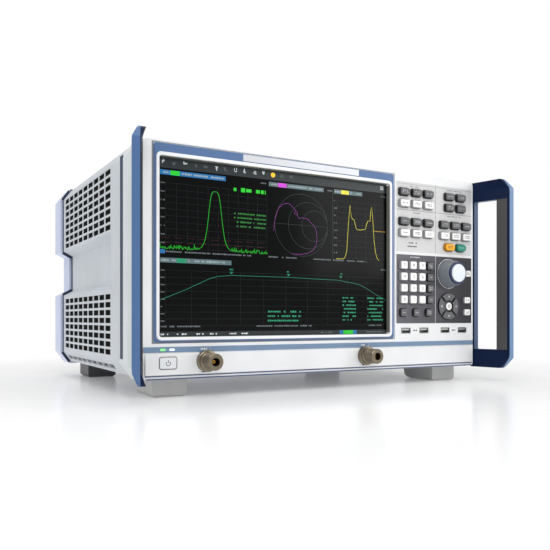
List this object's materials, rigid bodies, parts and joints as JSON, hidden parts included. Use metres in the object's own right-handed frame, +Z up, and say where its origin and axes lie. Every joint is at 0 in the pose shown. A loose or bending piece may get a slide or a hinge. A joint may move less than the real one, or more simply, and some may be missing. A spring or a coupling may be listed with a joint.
{
  "type": "vector network analyzer",
  "caption": "Bench vector network analyzer with touch screen, keypad, turning knob, type N test ports, flared blue side handles, slotted side vents and folding front legs.",
  "frame": {"origin": "on the table, under the middle of the whole instrument", "axes": "+Z up, the front panel faces -Y, +X to the right as seen from the front"},
  "size_m": [0.4616, 0.3614, 0.24],
  "materials": {
    "frame_paint": "fine-texture light grey powder coat on cast aluminium",
    "panel_paint": "smooth white enamel on sheet steel",
    "surround_blue": "satin blue moulded ABS",
    "bezel_white": "white moulded ABS with a soft gloss",
    "screen_glass": "dark bonded touch glass over a lit display",
    "display_case": "tinned sheet steel can",
    "plated_sheet": "zinc-plated sheet steel",
    "field_silver": "silver satin printed foil on a plate",
    "field_dark": "dark grey satin printed foil on a plate",
    "strip_blue": "blue printed foil",
    "light_lens": "diffusing light pipe",
    "handle_blue": "blue powder coat on die-cast aluminium",
    "grip_rubber": "dark grey soft-touch rubber",
    "zinc_screw": "zinc-plated steel",
    "groove_dark": "dark navy moulded strip",
    "cover_paint": "fine-texture light grey powder coat on folded sheet",
    "seal_rubber": "black rubber gasket",
    "bumper_paint": "fine-texture grey powder coat on cast aluminium",
    "rear_plate": "light grey enamel on sheet steel",
    "foot_plastic": "grey glass-filled nylon",
    "leg_plastic": "grey glass-filled nylon",
    "inlet_plastic": "black thermoplastic",
    "psu_steel": "perforated zinc-plated steel",
    "board_green": "green solder mask on glass laminate",
    "milled_aluminium": "milled and chromated aluminium",
    "cable_copper": "bare semi-rigid copper line",
    "encoder_grey": "black moulded encoder with a brass bush",
    "collar_chrome": "bright chromed ring",
    "connector_nickel": "nickel-plated brass with a warm cast",
    "socket_steel": "tin-plated folded steel",
    "fan_plastic": "black glass-filled PBT",
    "guard_wire": "plated steel wire",
    "drawer_grey": "dark grey moulded carrier",
    "shaft_steel": "turned steel",
    "knob_grey": "grey moulded knob with a white cap",
    "key_dark": "dark grey moulded keycap",
    "key_light": "white moulded keycap",
    "key_orange": "orange moulded keycap",
    "key_green": "teal green moulded keycap",
    "key_power": "light grey moulded keycap"
  },
  "bodies": {
    "cabinet": {"front_frame": "frame_paint", "front_panel": "panel_paint", "screen_surround": "surround_blue", "screen_bezel": "bezel_white", "touch_glass": "screen_glass", "display_module": "display_case", "display_carrier": "plated_sheet", "function_field": "field_silver", "entry_field": "field_dark", "port_strip": "strip_blue", "port_fascia": "panel_paint", "status_lights": "light_lens", "left_handle": "handle_blue", "right_handle": "handle_blue", "handle_grips": "grip_rubber", "handle_screws": "zinc_screw", "groove_strips": "groove_dark", "cabinet_cover": "cover_paint", "side_vent_plates": "cover_paint", "rear_seal": "seal_rubber", "rear_frame": "bumper_paint", "rear_panel": "rear_plate", "chassis_tray": "plated_sheet", "feet": "foot_plastic", "mains_inlet": "inlet_plastic", "power_supply": "psu_steel", "mainboard": "board_green", "rf_module": "milled_aluminium", "port_cables": "cable_copper", "key_board": "board_green", "encoder_body": "encoder_grey", "knob_collar": "collar_chrome", "test_port_1": "connector_nickel", "test_port_2": "connector_nickel", "usb_sockets": "socket_steel", "rear_bnc_sockets": "connector_nickel", "rear_data_sockets": "socket_steel", "fan_housing": "fan_plastic", "fan_guard": "guard_wire", "cover_screws": "zinc_screw"},
    "fan_rotor": {"fan_rotor": "fan_plastic"},
    "mains_rocker": {"mains_rocker": "inlet_plastic"},
    "disk_drawer": {"disk_drawer": "drawer_grey"},
    "left_leg": {"left_leg": "leg_plastic"},
    "right_leg": {"right_leg": "leg_plastic"},
    "knob_shaft": {"knob_shaft": "shaft_steel"},
    "control_knob": {"control_knob": "knob_grey"},
    "power_key": {"power_key": "key_power"},
    "left_dark_keys": {"left_dark_keys": "key_dark"},
    "left_light_keys": {"left_light_keys": "key_light"},
    "right_upper_keys": {"right_upper_keys": "key_dark"},
    "right_dark_keys": {"right_dark_keys": "key_dark"},
    "right_light_keys": {"right_light_keys": "key_light"},
    "orange_key": {"orange_key": "key_orange"},
    "green_key": {"green_key": "key_green"},
    "digit_keys": {"digit_keys": "key_light"},
    "edit_keys": {"edit_keys": "key_dark"},
    "side_keys": {"side_keys": "key_light"},
    "arrow_keys": {"arrow_keys": "key_dark"},
    "enter_key": {"enter_key": "key_light"}
  },
  "joints": [
    {"name": "power_key_press", "type": "slide", "parent": "cabinet", "child": "power_key", "axis": [0, 1, 0], "range_m": [0, 0.0008], "stiffness_N_per_m": 600},
    {"name": "left_dark_keys_press", "type": "slide", "parent": "cabinet", "child": "left_dark_keys", "axis": [0, 1, 0], "range_m": [0, 0.0008], "stiffness_N_per_m": 600},
    {"name": "left_light_keys_press", "type": "slide", "parent": "cabinet", "child": "left_light_keys", "axis": [0, 1, 0], "range_m": [0, 0.0008], "stiffness_N_per_m": 600},
    {"name": "right_upper_keys_press", "type": "slide", "parent": "cabinet", "child": "right_upper_keys", "axis": [0, 1, 0], "range_m": [0, 0.0008], "stiffness_N_per_m": 600},
    {"name": "right_dark_keys_press", "type": "slide", "parent": "cabinet", "child": "right_dark_keys", "axis": [0, 1, 0], "range_m": [0, 0.0008], "stiffness_N_per_m": 600},
    {"name": "right_light_keys_press", "type": "slide", "parent": "cabinet", "child": "right_light_keys", "axis": [0, 1, 0], "range_m": [0, 0.0008], "stiffness_N_per_m": 600},
    {"name": "orange_key_press", "type": "slide", "parent": "cabinet", "child": "orange_key", "axis": [0, 1, 0], "range_m": [0, 0.0008], "stiffness_N_per_m": 600},
    {"name": "green_key_press", "type": "slide", "parent": "cabinet", "child": "green_key", "axis": [0, 1, 0], "range_m": [0, 0.0008], "stiffness_N_per_m": 600},
    {"name": "digit_keys_press", "type": "slide", "parent": "cabinet", "child": "digit_keys", "axis": [0, 1, 0], "range_m": [0, 0.0008], "stiffness_N_per_m": 600},
    {"name": "edit_keys_press", "type": "slide", "parent": "cabinet", "child": "edit_keys", "axis": [0, 1, 0], "range_m": [0, 0.0008], "stiffness_N_per_m": 600},
    {"name": "side_keys_press", "type": "slide", "parent": "cabinet", "child": "side_keys", "axis": [0, 1, 0], "range_m": [0, 0.0008], "stiffness_N_per_m": 600},
    {"name": "arrow_keys_press", "type": "slide", "parent": "cabinet", "child": "arrow_keys", "axis": [0, 1, 0], "range_m": [0, 0.0008], "stiffness_N_per_m": 600},
    {"name": "enter_key_press", "type": "slide", "parent": "cabinet", "child": "enter_key", "axis": [0, 1, 0], "range_m": [0, 0.0008], "stiffness_N_per_m": 600},
    {"name": "knob_press", "type": "slide", "parent": "cabinet", "child": "knob_shaft", "axis": [0, 1, 0], "range_m": [0, 0.0008], "stiffness_N_per_m": 900},
    {"name": "knob_turn", "type": "hinge", "parent": "knob_shaft", "child": "control_knob", "pos_m": [0.1665, -0.14825, 0.128], "axis": [0, -1, 0], "continuous": true},
    {"name": "fan_spin", "type": "hinge", "parent": "cabinet", "child": "fan_rotor", "pos_m": [-0.14, 0.14875, 0.165], "axis": [0, 1, 0], "continuous": true},
    {"name": "mains_rock", "type": "hinge", "parent": "cabinet", "child": "mains_rocker", "pos_m": [-0.116, 0.16125, 0.062], "axis": [1, 0, 0], "range_deg": [-14, 0]},
    {"name": "drawer_slide", "type": "slide", "parent": "cabinet", "child": "disk_drawer", "axis": [0, 1, 0], "range_m": [0, 0.1]},
    {"name": "left_leg_fold", "type": "hinge", "parent": "cabinet", "child": "left_leg", "pos_m": [-0.1755, -0.10965, 0.0034], "axis": [-1, 0, 0], "range_deg": [0, 95]},
    {"name": "right_leg_fold", "type": "hinge", "parent": "cabinet", "child": "right_leg", "pos_m": [0.1755, -0.10965, 0.0034], "axis": [-1, 0, 0], "range_deg": [0, 95]}
  ]
}
